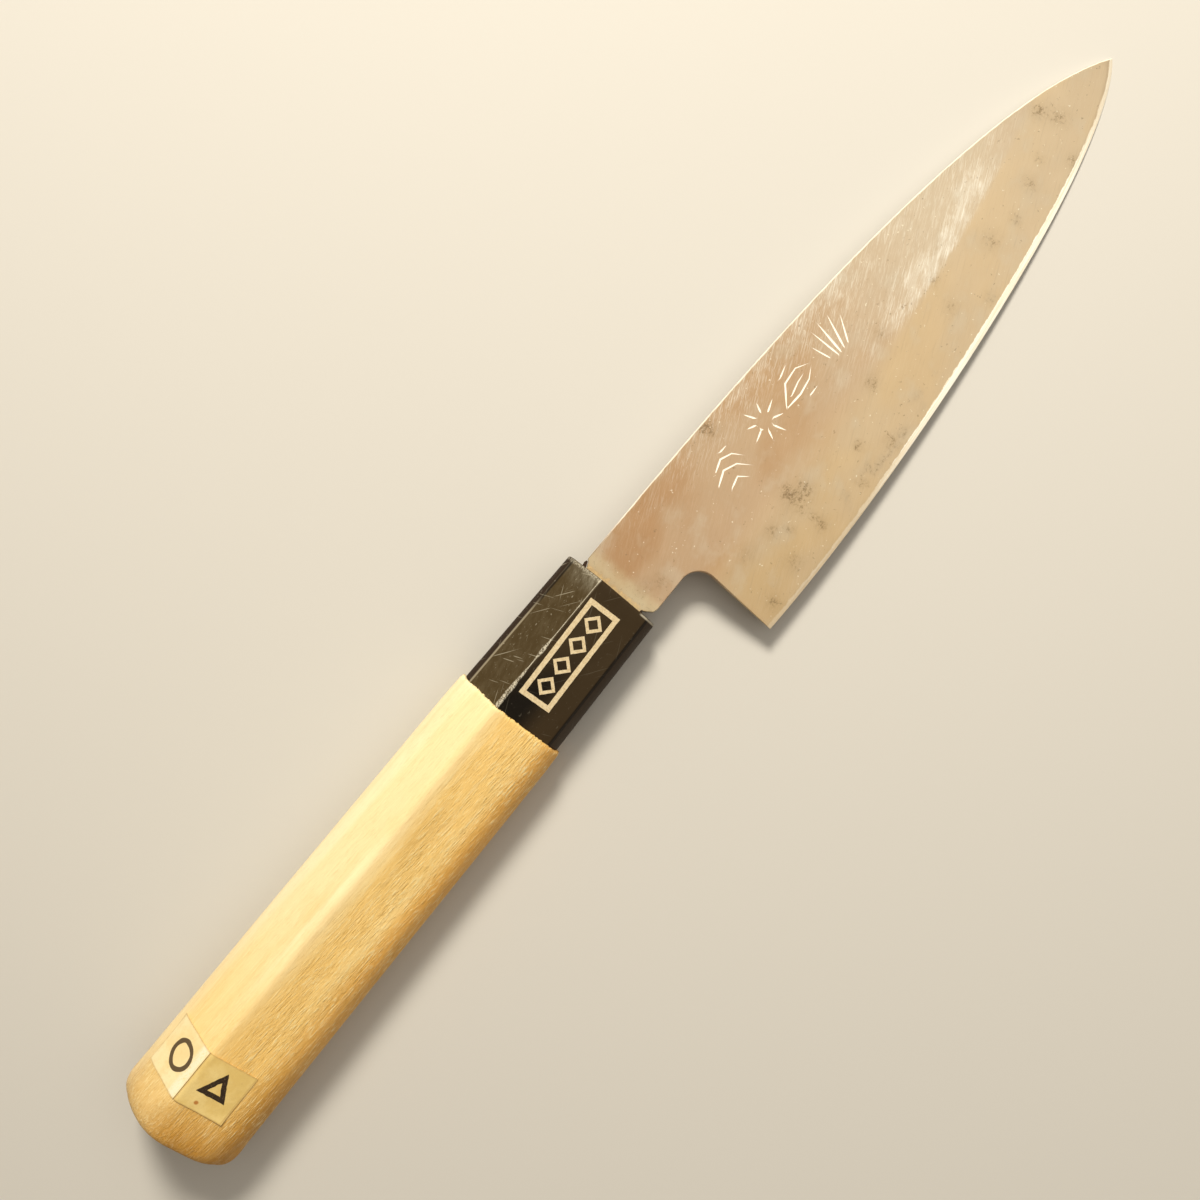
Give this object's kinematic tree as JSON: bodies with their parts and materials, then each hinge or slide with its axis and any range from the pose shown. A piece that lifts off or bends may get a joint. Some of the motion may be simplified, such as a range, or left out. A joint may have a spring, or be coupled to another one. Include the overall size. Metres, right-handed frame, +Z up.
{
  "type": "single-bevel kitchen knife",
  "caption": "Small pointed single-bevel kitchen knife with a narrow neck, dark resin ferrule and a ridged pale wooden handle, lying on its side.",
  "frame": {"origin": "on the table, under the middle of the lying knife's bounding box", "axes": "+X from the butt of the handle to the blade tip, +Y towards the spine, +Z up from the table, on the side of the ground face"},
  "size_m": [0.2536, 0.0385, 0.0205],
  "materials": {
    "blade_steel": "worn brushed carbon steel with light patina",
    "ferrule_resin": "satin, scuffed",
    "grip_wood": "bare, fine grained",
    "bedding_resin": "dull dark resin",
    "foil": "worn pale gold foil",
    "tag_paper": "yellowed paper",
    "tag_ink": "dry ink"
  },
  "bodies": {
    "root": {"blade": "blade_steel", "ferrule": "ferrule_resin", "grip": "grip_wood", "tang_bedding": "bedding_resin", "foil_frame": "foil", "foil_motif_1": "foil", "foil_motif_2": "foil", "foil_motif_3": "foil", "foil_motif_4": "foil", "tag_narrow_side": "tag_paper", "tag_wide_side": "tag_paper", "ink_ring": "tag_ink", "ink_triangle": "tag_ink"}
  },
  "joints": []
}
